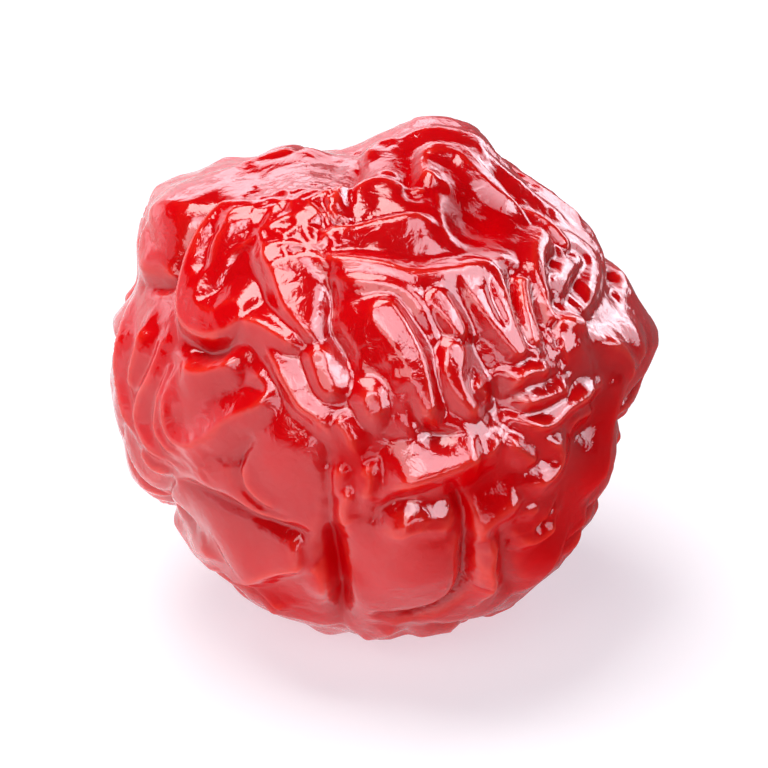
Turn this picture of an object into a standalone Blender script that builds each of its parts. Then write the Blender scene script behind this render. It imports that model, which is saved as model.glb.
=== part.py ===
"""A dried cherry: one wrinkled, glossy red fruit, lying on a small flat spot.

The fruit starts as a round body whose outline, seen from the front and a little above, is drawn
by hand. Folds of skin are raised on it along hand-drawn runs, some with a sharp crest and some with
a flat top, and their wide sloping flanks lay the skin between them in facets. Creases are sunk
along other runs, and swells and hollows sit between them. The sides and the back carry folds and
creases that wander at random from fixed seeds. All lengths below are in millimetres.
"""
import bmesh
import bpy
import numpy as np

MM = 0.001
NAME = "cherry"

# The drawing plane faces the front, turned up by this much, and its middle is the fruit's middle.
VIEW_RISE = np.radians(28.0)
RIGHT = np.array([1.0, 0.0, 0.0])
TOWARD = np.array([0.0, -np.cos(VIEW_RISE), np.sin(VIEW_RISE)])
UP = np.array([0.0, np.sin(VIEW_RISE), np.cos(VIEW_RISE)])

BODY_RADIUS = 10.60
FOOT_DROP = 9.75            # from the middle down to the surface that the fruit lies on
SKIN_SINK = 0.35            # the skin between folds lies this far under the round body
RIM_SINK = 0.26             # and this far where it turns away, along the drawn outline
OUTLINE_BAND = 0.5          # how far round the body the drawn outline is felt
OUTLINE_RADII = [           # every 10 degrees from the right, anticlockwise
    10.80, 11.50, 11.10, 10.80, 10.60, 10.40, 10.55, 11.10, 10.95, 10.20, 9.65, 10.35,
    10.70, 11.50, 12.10, 11.40, 11.00, 11.25, 11.05, 10.85, 10.75, 10.10, 10.20, 10.35,
    10.45, 10.45, 10.50, 10.50, 10.50, 10.55, 10.55, 10.50, 10.45, 10.35, 10.20, 10.20]

TRIANGLES = 11400           # of the finished skin, at most
SPHERE_LEVELS = 7
WAVE_COUNT = 16             # sine waves in a random field
WAVE_SPREAD = (0.6, 1.4)    # their lengths, as shares of the stated one
RUN_STEPS = 6               # straight pieces between two drawn points
WIDEST_SLANT = 0.985        # drawn points further out than this share are taken as this far out
SLANT_ROUNDS = 6
FOLD_LIFT = 1.2             # drawn heights of folds are multiplied by this
FOLD_SPREAD = 3.3           # flanks reach this many drawn widths from the crest
FOLD_LEAST_REACH = 0.55
FOLD_FALL = 1.5             # how steeply a flank leaves its crest
FOLD_BLEND = 4.0            # how sharply folds that cross keep to the higher one
CREASE_FALL = 1.3
CREST_ROUND = 0.07          # radius of the rounding along a crest or a crease
END_HEIGHT = 0.35           # share of its height that a fold keeps at its ends
END_SHARE = 0.25            # share of a run over which it rises at each end
END_REACH = 0.6             # share of its reach that a fold keeps where it has no height
CREASE_FELT = 4.5           # a crease is felt as far as this many widths
RIM_CALM = 0.45             # share of the folds' height that is lost along the drawn outline
RIM_BAND = 0.26
FOOT_CALM_START = -0.965    # the folds die away between these heights, as shares of the radius
FOOT_CALM_SPAN = 0.08
FOOT_SNAP = 0.06            # corners this close to the surface that the fruit lies on are put on it
CUT_CLOSENESS = 1e-7

SWELL_HEIGHT = 0.35         # broad unevenness of the whole fruit
SWELL_WAVES = 2.2
SWELL_SEED = 5
DRIFT = 0.008               # how far the drawn runs wander, as a share of the radius
DRIFT_WAVES = 9.0
DRIFT_SEED = 11

# Folds and creases that wander over the sides and the back: how many, tries at most, seed, how far
# round to the front they start and reach (1 where the skin faces the front, -1 at the back), height
# or depth, reach to each side, half width of the flat top (none below 0), length, and how far apart
# they start.
BACK_FOLDS = {"count": 80, "tries": 6000, "seed": 4, "start_facing": 0.12, "end_facing": 0.25,
              "height": (0.28, 0.62), "reach": (0.8, 2.4), "top": (-0.3, 0.45),
              "length": (2.5, 8.0), "spacing": 2.0}
SIDE_FOLDS = {"count": 30, "tries": 6000, "seed": 15, "start_facing": 0.36, "end_facing": 0.42,
              "height": (0.30, 0.55), "reach": (0.6, 1.9), "top": (-0.4, 0.30),
              "length": (2.5, 6.5), "spacing": 1.5}
SIDE_CREASES = {"count": 46, "tries": 6000, "seed": 26, "start_facing": 0.32, "end_facing": 0.40,
                "height": (0.38, 0.76), "reach": (0.20, 0.42), "top": (0.0, 0.0),
                "length": (3.5, 9.0), "spacing": 2.3}
RUN_STEP = 0.9
RUN_TILT_AXIS = (0.3, 0.2, 1.0)
RUN_TURN_WAVES = 4.1
RUN_TURN_SWING = 2.2
RUN_TURN_SPREAD = 0.6
RUN_BEND_START = 0.18
RUN_BEND_KEPT = 0.6
RUN_BEND_SPREAD = 0.22
RUN_LEAST_POINTS = 3

CRUMPLE_CELLS = 210
CRUMPLE_SEED = 8
CRUMPLE_SCATTER = 0.9
CRUMPLE_HEIGHT = 0.20
CRUMPLE_WIDTH = 0.75
CRUMPLE_BEND = 0.035
CRUMPLE_BEND_WAVES = 5.0
CRUMPLE_BEND_SEED = 14
CRUMPLE_ON_FRONT = 0.15             # share of the crumpling left on the drawn side
CRUMPLE_FRONT_START = -0.1          # facing at which the drawn side starts
CRUMPLE_FRONT_SPAN = 0.5
CRUMPLE_RIM_CALM = 0.45             # share of the crumpling lost in a band near the outline
CRUMPLE_RIM_FACING = 0.1
CRUMPLE_RIM_BAND = 0.34

SKIN_COLOUR = (0.60, 0.003, 0.006, 1.0)
SKIN_ROUGHNESS = 0.16
SKIN_SCATTER = 0.3
SKIN_SCATTER_DEPTH = 2.0

# Each fold: height, width on the left of its run, width on the right, then its run as (x, y).
FOLDS = {
    "left shoulder": [
        (0.30, 0.70, 0.50, [(-9.7, 6.8), (-8.6, 7.3), (-7.2, 7.3)]),
        (0.35, 0.40, 0.50, [(-9.7, 6.9), (-9.9, 5.8), (-9.7, 4.8), (-9.1, 4.3)]),
        (0.46, 0.70, 0.26, [(-4.9, 6.1), (-4.7, 5.2), (-4.2, 4.1), (-3.7, 3.0), (-2.9, 2.1),
                            (-2.4, 1.5)]),
        (0.50, 0.30, 0.35, [(-6.1, 2.6), (-4.9, 2.4), (-3.9, 1.9), (-3.0, 1.4)]),
    ],
    "crown": [
        (0.55, 0.32, 0.60, [(-3.1, 5.1), (-1.6, 5.0), (0.0, 4.8), (1.5, 4.4), (3.0, 4.5),
                            (4.2, 4.8), (5.2, 5.4)]),
        (0.32, 0.30, 0.30, [(2.2, 10.3), (1.9, 9.7), (2.1, 9.1), (2.8, 8.8)]),
        (0.18, 0.40, 0.40, [(2.4, 8.6), (2.7, 7.8), (2.8, 6.8), (3.1, 5.6)]),
        (0.30, 0.30, 0.30, [(-0.9, 9.5), (-0.2, 10.0), (0.8, 10.3)]),
        (0.22, 0.25, 0.25, [(4.0, 10.3), (5.0, 9.3), (6.0, 8.7), (7.5, 7.8), (8.5, 6.7)]),
    ],
    "right shoulder": [
        (0.50, 0.30, 0.30, [(9.3, 1.7), (10.1, 1.2), (10.3, 0.4), (10.1, -0.3)]),
    ],
    "fan": [
        (0.25, 0.20, 0.20, [(5.7, 1.3), (6.4, 1.3), (6.5, 0.8)]),
    ],
    "middle": [
        (0.45, 0.30, 0.40, [(-2.3, 4.4), (-1.0, 4.2), (0.4, 4.0), (1.2, 3.6), (1.8, 2.9),
                            (2.3, 1.9)]),
        (0.70, 0.55, 0.40, [(0.2, -4.3), (1.3, -3.9), (2.5, -3.5), (3.6, -3.0), (4.3, -2.8)]),
        (0.42, 0.40, 0.16, [(-5.0, 2.0), (-4.2, 0.9), (-3.7, 0.0), (-3.2, -0.8), (-2.7, -1.2),
                            (-2.2, -1.7), (-1.9, -2.4)]),
        (0.38, 0.30, 0.16, [(-1.9, -1.2), (-1.6, -1.7), (-1.3, -2.1), (-0.9, -3.0)]),
        (0.45, 0.25, 0.25, [(-0.7, -3.3), (-0.4, -3.9), (-0.7, -4.9)]),
        (0.45, 0.25, 0.25, [(-1.1, -4.1), (-1.5, -5.1), (-1.3, -6.0)]),
        (0.32, 0.20, 0.20, [(0.1, 1.3), (0.6, 0.3), (1.1, -0.7)]),
    ],
    "left pouch": [
        (0.45, 0.25, 0.30, [(-4.9, 0.3), (-4.5, -0.3), (-4.9, -0.9), (-6.0, -1.5), (-6.8, -2.2),
                            (-7.6, -2.5), (-8.3, -2.2), (-8.6, -1.4), (-8.6, -0.4), (-8.3, 0.5)]),
        (0.25, 0.20, 0.20, [(-4.9, -1.2), (-6.2, -1.9), (-7.2, -2.8)]),
        (0.42, 0.30, 0.35, [(-8.2, 1.0), (-7.6, 0.4), (-6.6, 0.5), (-5.7, 1.1)]),
    ],
    "left edge": [
        (0.50, 0.30, 0.30, [(-10.4, 3.1), (-10.6, 1.5), (-10.6, 0.3), (-10.3, -1.2),
                            (-9.9, -2.4)]),
        (0.45, 0.28, 0.28, [(-9.5, 2.6), (-9.7, 1.5), (-10.0, 0.4), (-10.1, -0.5)]),
        (0.42, 0.28, 0.28, [(-9.0, 1.6), (-9.3, 0.2), (-9.7, -0.6), (-9.8, -1.6), (-9.3, -2.6),
                            (-8.6, -3.2)]),
        (0.40, 0.25, 0.25, [(-8.7, 0.5), (-8.9, -0.8), (-9.0, -1.8), (-8.5, -2.6), (-7.8, -2.9)]),
        (0.35, 0.25, 0.25, [(-9.8, -2.6), (-9.3, -3.4), (-8.7, -3.9)]),
    ],
    "lower left": [
        (0.30, 0.25, 0.50, [(-5.7, -3.0), (-5.6, -4.0), (-5.0, -4.8), (-4.2, -5.4)]),
        (0.35, 0.30, 0.30, [(-1.8, -3.2), (-1.8, -4.9)]),
        (0.55, 0.60, 0.30, [(-6.0, -8.3), (-4.8, -7.7), (-3.6, -7.4), (-2.8, -7.4)]),
        (0.35, 0.30, 0.30, [(-2.9, -7.4), (-2.4, -8.0), (-2.2, -9.2)]),
    ],
    "lower right": [
        (0.50, 0.45, 0.45, [(3.4, -6.1), (4.0, -5.6), (4.9, -4.9), (5.9, -4.4)]),
        (0.50, 0.25, 0.25, [(4.3, -6.0), (4.5, -6.6), (4.3, -7.2), (4.4, -8.0), (3.9, -9.0)]),
        (0.40, 0.25, 0.25, [(5.5, -6.0), (6.1, -6.2), (6.7, -5.9), (7.1, -5.4)]),
        (0.25, 0.20, 0.20, [(5.4, -5.2), (5.9, -5.0), (6.4, -5.0)]),
    ],
    "pucker": [
        (0.28, 0.20, 0.20, [(4.7, -0.8), (4.2, -0.3), (3.8, 0.0)]),
        (0.42, 0.25, 0.25, [(5.3, -0.4), (5.8, 0.3), (6.4, 0.5), (7.1, 0.5)]),
        (0.40, 0.30, 0.25, [(5.4, -0.8), (6.2, -0.7), (7.2, -0.4), (7.8, -0.2)]),
        (0.55, 0.25, 0.28, [(5.4, -1.4), (6.2, -1.7), (6.8, -1.6), (7.5, -1.0), (8.3, -0.6),
                            (9.3, -0.1)]),
        (0.30, 0.20, 0.20, [(4.9, -2.0), (4.5, -2.7), (4.0, -3.0)]),
        (0.40, 0.25, 0.25, [(5.0, -2.1), (5.7, -2.8), (6.3, -3.2)]),
        (0.55, 0.35, 0.35, [(6.0, -2.0), (6.9, -2.5), (7.0, -3.2), (6.5, -3.8), (5.5, -4.1)]),
        (0.30, 0.25, 0.25, [(7.6, -1.6), (8.3, -1.5), (8.9, -1.2)]),
    ],
}

# Each flat-topped fold: height, reach on the left, reach on the right, half width of its top at the
# start and at the end, then its run.
PLATEAUS = [
    (0.55, 1.30, 0.50, 0.50, 0.50, [(-6.3, 6.9), (-7.2, 5.9), (-7.6, 4.6), (-7.8, 3.4),
                                    (-7.6, 2.7), (-6.8, 2.4), (-6.0, 2.8)]),
    (0.38, 0.50, 0.80, 0.30, 0.35, [(2.3, 10.0), (3.3, 9.9), (4.1, 9.3), (5.1, 8.4), (6.2, 7.6),
                                    (7.1, 6.9), (7.8, 6.1)]),
    (0.42, 0.60, 2.20, 0.10, 0.10, [(-1.2, 8.2), (0.0, 8.6), (1.3, 8.5)]),
    (0.40, 0.40, 2.20, 0.10, 0.10, [(-1.8, 6.2), (-0.6, 6.5), (0.5, 6.8), (1.6, 7.0)]),
    (0.16, 0.30, 0.30, 0.05, 0.05, [(-5.3, 5.9), (-6.1, 5.5), (-6.6, 4.8), (-6.8, 4.2)]),
    (0.24, 0.50, 0.60, 0.28, 0.20, [(7.5, 6.5), (8.4, 6.0), (9.1, 5.2), (9.2, 4.2), (8.7, 3.2)]),
    (0.40, 0.80, 0.60, 0.25, 0.10, [(7.1, 6.6), (6.7, 5.6), (6.7, 4.4), (7.0, 3.4), (7.6, 2.6),
                                    (8.3, 2.4)]),
    (0.20, 0.50, 0.50, 0.30, 0.15, [(7.5, 4.1), (8.0, 4.8), (8.5, 5.4)]),
    (0.35, 1.00, 0.60, 0.15, 0.15, [(0.7, -5.8), (1.5, -5.5), (2.4, -5.5)]),
    (0.60, 0.70, 1.80, 0.50, 0.24, [(0.1, 2.8), (0.7, 2.0), (1.3, 0.9), (1.65, -0.1),
                                    (1.9, -1.0)]),
    (0.50, 0.60, 0.60, 0.38, 0.20, [(2.4, 3.3), (2.9, 2.7), (3.3, 2.1)]),
    (0.45, 0.60, 0.60, 0.35, 0.12, [(3.1, 1.2), (3.0, 0.4), (3.3, -0.4), (3.8, -1.0)]),
    (0.45, 0.40, 0.60, 0.95, 0.22, [(4.3, 4.2), (4.8, 3.2), (5.3, 2.2), (5.7, 1.4)]),
    (0.40, 0.40, 0.40, 0.26, 0.16, [(6.1, 4.1), (6.2, 2.9), (6.4, 1.8)]),
    (0.40, 0.80, 0.70, 0.25, 0.20, [(-2.5, 1.1), (-2.3, 0.3), (-2.1, -0.2)]),
    (0.45, 0.80, 0.80, 0.32, 0.30, [(-0.3, -0.7), (-0.2, -1.1)]),
]

# Each crease: depth, width on the left, width on the right, then its run.
CREASES = [
    (0.70, 0.30, 0.35, [(-6.8, 7.4), (-7.9, 6.1), (-8.5, 4.9), (-8.9, 4.2), (-9.8, 4.0)]),
    (0.40, 0.30, 0.30, [(-6.5, 6.7), (-7.1, 5.6), (-7.3, 4.3)]),
    (0.50, 0.25, 0.30, [(-2.2, 4.4), (-2.1, 3.2), (-2.1, 2.2), (-1.5, 1.2), (-1.2, 0.4)]),
    (0.45, 0.45, 0.45, [(1.4, 10.4), (1.4, 9.2), (1.4, 8.3), (2.2, 8.2)]),
    (0.35, 0.50, 0.50, [(3.9, 2.0), (4.3, 1.1), (4.8, 0.2)]),
    (0.35, 0.25, 0.25, [(-1.0, 9.8), (-1.0, 9.0), (-1.2, 8.0), (-1.1, 7.2)]),
    (0.16, 0.13, 0.13, [(4.5, 4.1), (4.7, 3.3), (5.2, 2.2)]),
    (0.30, 0.18, 0.18, [(5.6, 4.6), (5.7, 3.4), (5.9, 2.2)]),
    (0.35, 0.20, 0.20, [(6.4, 4.3), (6.6, 3.2), (7.0, 2.0)]),
    (0.40, 0.20, 0.30, [(1.3, -0.6), (1.6, -1.5), (2.3, -2.2), (3.4, -2.1)]),
    (0.50, 0.30, 0.30, [(-2.1, -2.4), (-2.1, -4.2), (-2.0, -5.4), (-2.1, -6.4)]),
    (1.00, 0.48, 0.48, [(-2.1, -5.6), (-2.0, -6.8), (-1.8, -8.0), (-1.7, -9.2), (-1.7, -10.6)]),
    (0.48, 0.30, 0.38, [(-8.8, -3.9), (-7.2, -4.7), (-5.6, -5.5), (-4.0, -6.1), (-2.6, -6.4)]),
    (0.48, 0.22, 0.30, [(-5.3, -2.3), (-5.8, -3.2), (-5.7, -4.2), (-5.0, -5.0), (-4.0, -5.5)]),
    (0.80, 0.20, 0.35, [(2.9, -4.1), (3.4, -5.2), (3.5, -7.2), (3.4, -8.4), (2.6, -9.2),
                        (1.4, -9.6), (0.0, -9.7)]),
    (0.50, 0.35, 0.45, [(4.8, -5.7), (5.1, -6.9), (5.3, -8.2), (5.6, -9.0)]),
    (0.45, 0.30, 0.30, [(-8.6, -3.6), (-8.9, -4.6), (-9.3, -5.2)]),
    (0.35, 0.25, 0.25, [(-8.0, 1.5), (-7.1, 1.1), (-6.1, 1.5)]),
    (0.35, 0.30, 0.30, [(-0.3, -6.0), (0.0, -5.4), (0.8, -4.8), (2.2, -4.2)]),
]

# Each swell, or hollow where the height is negative: height, half width, half length, turn of the
# width in degrees, then its middle (x, y).
SWELLS = [
    (-0.12, 1.00, 1.20, 0, (-5.4, 3.9)),
    (-0.60, 1.50, 1.70, -30, (4.2, 7.2)),
    (-0.20, 0.45, 0.70, 0, (8.6, 3.9)),
    (-0.30, 0.40, 0.50, 0, (7.4, 3.2)),
    (-0.15, 0.40, 0.50, 0, (7.4, 5.2)),
    (0.35, 1.70, 1.70, 0, (-3.9, -3.0)),
    (0.55, 1.90, 2.30, 0, (1.2, -7.0)),
    (-0.50, 0.90, 0.90, 0, (4.9, -0.9)),
    (0.25, 0.60, 0.50, 0, (0.3, 9.1)),
    (-0.25, 1.10, 0.90, 0, (4.2, -4.3)),
    (0.30, 1.50, 1.30, 0, (-7.6, -1.0)),
    (0.40, 1.40, 1.60, 0, (-9.2, 6.0)),
    (0.35, 1.40, 1.20, 0, (-6.0, -6.9)),
    (0.30, 1.20, 1.20, 0, (8.6, -3.6)),
    (0.25, 1.20, 1.40, 0, (6.6, -7.4)),
    (-0.30, 0.80, 0.70, 0, (8.4, -1.9)),
]
SWELL_EDGE = 1.3

# Taut spots, where the skin is smooth: middle (x, y), radius.
TAUT_SPOTS = [
    (-6.0, 8.3, 3.6),
    (-9.3, 5.8, 2.6),
    (-3.9, -3.0, 2.2),
    (-6.2, -6.6, 2.6),
    (1.2, -6.9, 2.6),
    (-5.4, 3.9, 1.3),
    (4.0, 7.3, 1.8),
    (-6.8, 0.0, 1.4),
    (6.6, -6.6, 2.2),
]


def unit(vectors):
    """Scale each row to length 1."""
    return vectors / np.linalg.norm(vectors, axis=-1, keepdims=True)


def ease(x):
    """0 up to 0, 1 from 1, with a smooth rise between."""
    x = np.clip(x, 0.0, 1.0)
    return x * x * (3.0 - 2.0 * x)


def waves(ways, per_radius, seed):
    """A smooth random field: the sum of sine waves in seeded directions, over their root count."""
    rng = np.random.default_rng(seed)
    along = unit(rng.normal(size=(WAVE_COUNT, 3))) * per_radius
    along *= rng.uniform(*WAVE_SPREAD, (WAVE_COUNT, 1))
    start = rng.uniform(0.0, 2.0 * np.pi, WAVE_COUNT)
    return np.sin(ways @ along.T + start).sum(axis=1) / np.sqrt(WAVE_COUNT)


def wander(ways, amount, per_radius, seed):
    """Push each direction aside by smooth random fields."""
    return ways + amount * np.stack([waves(ways, per_radius, seed + k) for k in range(3)], axis=-1)


def curve_through(a, b, c, d, f):
    """The cubic from b at f = 0 to c at f = 1, with slopes (c - a) / 2 and (d - b) / 2."""
    return 0.5 * (2 * b + (c - a) * f + (2 * a - 5 * b + 4 * c - d) * f ** 2
                  + (3 * b - a - 3 * c + d) * f ** 3)


def outline_radius(angle):
    """A smooth closed curve through OUTLINE_RADII."""
    radii = np.array(OUTLINE_RADII)
    place = angle / (2.0 * np.pi) % 1.0 * len(radii)
    first = np.floor(place).astype(int)
    a, b, c, d = (radii[(first + k) % len(radii)] for k in (-1, 0, 1, 2))
    return curve_through(a, b, c, d, place - first)


def body_radius(angle, facing):
    """Radius of the body: round, and on the drawn outline where the skin turns away."""
    near = np.exp(-(facing / OUTLINE_BAND) ** 2)
    return BODY_RADIUS + (outline_radius(angle) - BODY_RADIUS) * near


def from_drawing(points):
    """Directions from the fruit's middle to the drawn points on the side that faces the front."""
    points = np.asarray(points, dtype=float)
    reach = np.hypot(points[:, 0], points[:, 1])
    angle = np.arctan2(points[:, 1], points[:, 0])
    tilt = np.arcsin(np.clip(reach / BODY_RADIUS, 0.0, WIDEST_SLANT))
    for _ in range(SLANT_ROUNDS):
        tilt = np.arcsin(np.clip(reach / body_radius(angle, np.cos(tilt)), 0.0, WIDEST_SLANT))
    return (np.outer(np.sin(tilt) * np.cos(angle), RIGHT)
            + np.outer(np.sin(tilt) * np.sin(angle), UP)
            + np.outer(np.cos(tilt), TOWARD))


def smooth_run(ways):
    """A smooth curve through the directions, as short straight pieces."""
    if len(ways) == 2:
        f = np.linspace(0.0, 1.0, 2 * RUN_STEPS)[:, None]
        return unit(ways[0] * (1.0 - f) + ways[1] * f)
    padded = np.vstack([2 * ways[0] - ways[1], ways, 2 * ways[-1] - ways[-2]])
    f = (np.arange(RUN_STEPS) / RUN_STEPS)[None, :, None]
    a, b, c, d = (padded[k:len(padded) - 3 + k, None, :] for k in range(4))
    return unit(np.vstack([curve_through(a, b, c, d, f).reshape(-1, 3), ways[-1:]]))


def near_run(ways, run, reach):
    """Indices of the directions that lie within reach of a run."""
    middle = unit(run.mean(axis=0))
    limit = np.linalg.norm(run - middle, axis=1).max() + reach / BODY_RADIUS
    return np.flatnonzero(np.linalg.norm(ways - middle, axis=1) < limit)


def place_on_run(ways, run):
    """Distance to a run, how far the place is to its left (1) or right (0), and the share along."""
    starts, pieces = run[:-1], np.diff(run, axis=0)
    along = ((ways[:, None] - starts) * pieces).sum(-1) / (pieces * pieces).sum(-1)
    along = np.clip(along, 0.0, 1.0)
    offsets = ways[:, None] - starts - along[..., None] * pieces
    lengths = np.linalg.norm(offsets, axis=-1)
    closest = lengths.argmin(axis=1)
    rows = np.arange(len(ways))
    distance = lengths[rows, closest]
    left_way = unit(np.cross(starts[closest], pieces[closest]))
    left_share = (offsets[rows, closest] * left_way).sum(-1) / np.maximum(distance, 1e-7)
    share = (closest + along[rows, closest]) / len(pieces)
    return distance * BODY_RADIUS, ease(0.5 + 0.5 * left_share), share


def tapered(share):
    """END_HEIGHT at both ends of a run and 1 along its middle half."""
    rising = ease(share / END_SHARE) * ease((1.0 - share) / END_SHARE)
    return END_HEIGHT + (1.0 - END_HEIGHT) * rising


def fold_height(ways, folds):
    """Height of all the folds together.

    Across a fold the height is height * (1 - distance / reach) ** FOLD_FALL, with the distance
    taken from the edge of its top if that is flat. A sharp fold tapers to both ends. Folds that
    meet are joined by a power mean.
    """
    total = np.zeros(len(ways))
    for height, left, right, top_start, top_end, run in folds:
        near = near_run(ways, run, max(left, right) + max(top_start, top_end))
        distance, left_share, share = place_on_run(ways[near], run)
        taper = 1.0 if top_start > 0.0 else tapered(share)
        distance = np.maximum(distance - top_start - (top_end - top_start) * share, 0.0)
        rounded = np.hypot(distance, CREST_ROUND) - CREST_ROUND
        reach = (right + (left - right) * left_share) * (END_REACH + (1.0 - END_REACH) * taper)
        across = np.clip(1.0 - rounded / reach, 0.0, 1.0) ** FOLD_FALL
        total[near] += (height * taper * across) ** FOLD_BLEND
    return total ** (1.0 / FOLD_BLEND)


def crease_depth(ways, creases):
    """Depth of all the creases together, each exp(-(distance / width) ** CREASE_FALL) across."""
    total = np.zeros(len(ways))
    for depth, left, right, run in creases:
        near = near_run(ways, run, CREASE_FELT * max(left, right))
        distance, left_share, share = place_on_run(ways[near], run)
        rounded = np.hypot(distance, CREST_ROUND) - CREST_ROUND
        width = right + (left - right) * left_share
        across = np.exp(-(rounded / width) ** CREASE_FALL)
        total[near] += (depth * tapered(share) * across) ** FOLD_BLEND
    return total ** (1.0 / FOLD_BLEND)


def swell_height(ways):
    """Sum of the drawn swells and hollows, each a flat-topped oval bump."""
    total = np.zeros(len(ways))
    for height, half_width, half_length, turn, place in SWELLS:
        middle = from_drawing([place])[0]
        level = unit(RIGHT - (RIGHT @ middle) * middle)
        rise = np.cross(middle, level)
        turn = np.radians(turn)
        x = (ways - middle) @ (level * np.cos(turn) + rise * np.sin(turn)) * BODY_RADIUS
        y = (ways - middle) @ (rise * np.cos(turn) - level * np.sin(turn)) * BODY_RADIUS
        oval = (x / half_width) ** 2 + (y / half_length) ** 2
        total += height * np.exp(-oval ** SWELL_EDGE) * (ways @ middle > 0.0)
    return total


def scattered_runs(look, taken):
    """Seeded runs that wander over the sides and the back, with their heights and widths.

    Each starts clear of the directions taken, and the new runs are added to those.
    """
    rng = np.random.default_rng(look["seed"])
    found = []
    clear = np.cos(look["spacing"] / BODY_RADIUS)
    stride = RUN_STEP / BODY_RADIUS
    for _ in range(look["tries"]):
        if len(found) == look["count"]:
            break
        spot = unit(rng.normal(size=3))
        if spot @ TOWARD > look["start_facing"] or (taken @ spot > clear).any():
            continue
        heading = unit(np.cross(spot, RUN_TILT_AXIS))
        turn = (RUN_TURN_SWING * waves(spot[None], RUN_TURN_WAVES, look["seed"] + 1)[0]
                + RUN_TURN_SPREAD * rng.normal())
        bend = RUN_BEND_START * rng.normal()
        run = [spot]
        for _ in range(int(rng.uniform(*look["length"]) / RUN_STEP)):
            heading = heading * np.cos(turn) + np.cross(spot, heading) * np.sin(turn)
            spot = unit(spot + heading * stride)
            heading = unit(heading - (heading @ spot) * spot)
            bend = RUN_BEND_KEPT * bend + RUN_BEND_SPREAD * rng.normal()
            turn = bend
            run.append(spot)
        run = np.array(run)
        if len(run) < RUN_LEAST_POINTS or (run @ TOWARD).max() > look["end_facing"]:
            continue
        taken = np.vstack([taken, run])
        left, right = rng.uniform(*look["reach"], 2)
        top_start, top_end = np.maximum(rng.uniform(*look["top"], 2), 0.0)
        height = rng.uniform(*look["height"])
        found.append((height, left, right, top_start, top_end, smooth_run(run)))
    return found, taken


def crumple_height(ways):
    """Small ridges along the borders between the nearest of scattered points."""
    rng = np.random.default_rng(CRUMPLE_SEED)
    count = np.arange(CRUMPLE_CELLS) + 0.5
    tilt = np.arccos(1.0 - 2.0 * count / CRUMPLE_CELLS)
    turn = np.pi * (1.0 + 5.0 ** 0.5) * count
    seeds = np.stack([np.cos(turn) * np.sin(tilt), np.sin(turn) * np.sin(tilt), np.cos(tilt)], -1)
    scatter = CRUMPLE_SCATTER / np.sqrt(CRUMPLE_CELLS)
    seeds = unit(seeds + rng.normal(size=seeds.shape) * scatter)
    bent = wander(ways, CRUMPLE_BEND, CRUMPLE_BEND_WAVES, CRUMPLE_BEND_SEED)
    gap = np.sqrt(np.maximum(0.0, 2.0 - 2.0 * bent @ seeds.T))
    nearest = np.partition(gap, 1, axis=1)[:, :2]
    border = (nearest[:, 1] - nearest[:, 0]) * BODY_RADIUS
    return CRUMPLE_HEIGHT * np.exp(-border / CRUMPLE_WIDTH)


def tautness(ways):
    """1 in the middle of a taut spot, falling to 0 outside it."""
    most = np.zeros(len(ways))
    for x, y, radius in TAUT_SPOTS:
        distance = np.linalg.norm(ways - from_drawing([(x, y)])[0], axis=1) * BODY_RADIUS
        most = np.maximum(most, np.exp(-(distance / radius) ** 4))
    return most


def looseness(ways, facing):
    """Share of the crumpling left: less on the drawn side, taut spots and near the outline."""
    drawn_side = ease((facing - CRUMPLE_FRONT_START) / CRUMPLE_FRONT_SPAN)
    near_outline = np.exp(-((facing - CRUMPLE_RIM_FACING) / CRUMPLE_RIM_BAND) ** 2)
    return ((1.0 - (1.0 - CRUMPLE_ON_FRONT) * drawn_side) * (1.0 - CRUMPLE_RIM_CALM * near_outline)
            * (1.0 - tautness(ways)))


def drawn_folds():
    """Sharp and flat-topped drawn folds: heights, reaches, half widths of tops, and directions."""
    sharp = [(FOLD_LIFT * height, max(FOLD_SPREAD * left, FOLD_LEAST_REACH),
              max(FOLD_SPREAD * right, FOLD_LEAST_REACH), 0.0, 0.0, smooth_run(from_drawing(run)))
             for group in FOLDS.values() for height, left, right, run in group]
    flat = [(*values, smooth_run(from_drawing(run))) for *values, run in PLATEAUS]
    return sharp + flat


def all_folds():
    """Drawn folds, and those scattered on the back and then on the sides, clear of the others."""
    drawn = drawn_folds()
    back, taken = scattered_runs(BACK_FOLDS, np.zeros((0, 3)))
    side, _ = scattered_runs(SIDE_FOLDS, np.vstack([taken] + [fold[-1] for fold in drawn]))
    return drawn + back + side


def all_creases():
    """Drawn creases, and those scattered on the sides and the back."""
    drawn = [(depth, left, right, smooth_run(from_drawing(run)))
             for depth, left, right, run in CREASES]
    scattered, _ = scattered_runs(SIDE_CREASES, np.vstack([crease[-1] for crease in drawn]))
    return drawn + [(depth, left, right, run) for depth, left, right, _, _, run in scattered]


def fruit_points(ways):
    """Points of the skin, in millimetres, with the surface that it lies on at height 0."""
    drawn = wander(ways, DRIFT, DRIFT_WAVES, DRIFT_SEED)
    facing = ways @ TOWARD
    rim = np.exp(-(facing / RIM_BAND) ** 2)
    calm = 1.0 - RIM_CALM * rim
    relief = fold_height(drawn, all_folds()) * calm
    relief -= crease_depth(drawn, all_creases()) * (1.0 + calm) / 2.0
    relief += swell_height(ways)
    relief += crumple_height(ways) * looseness(ways, facing)
    relief += SWELL_HEIGHT * waves(ways, SWELL_WAVES, SWELL_SEED) * (1.0 - rim)
    relief -= SKIN_SINK + (RIM_SINK - SKIN_SINK) * rim
    relief *= ease((ways[:, 2] - FOOT_CALM_START) / FOOT_CALM_SPAN)
    body = body_radius(np.arctan2(ways @ UP, ways @ RIGHT), facing)
    return ways * (body + relief)[:, None] + np.array([0.0, 0.0, FOOT_DROP])


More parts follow.
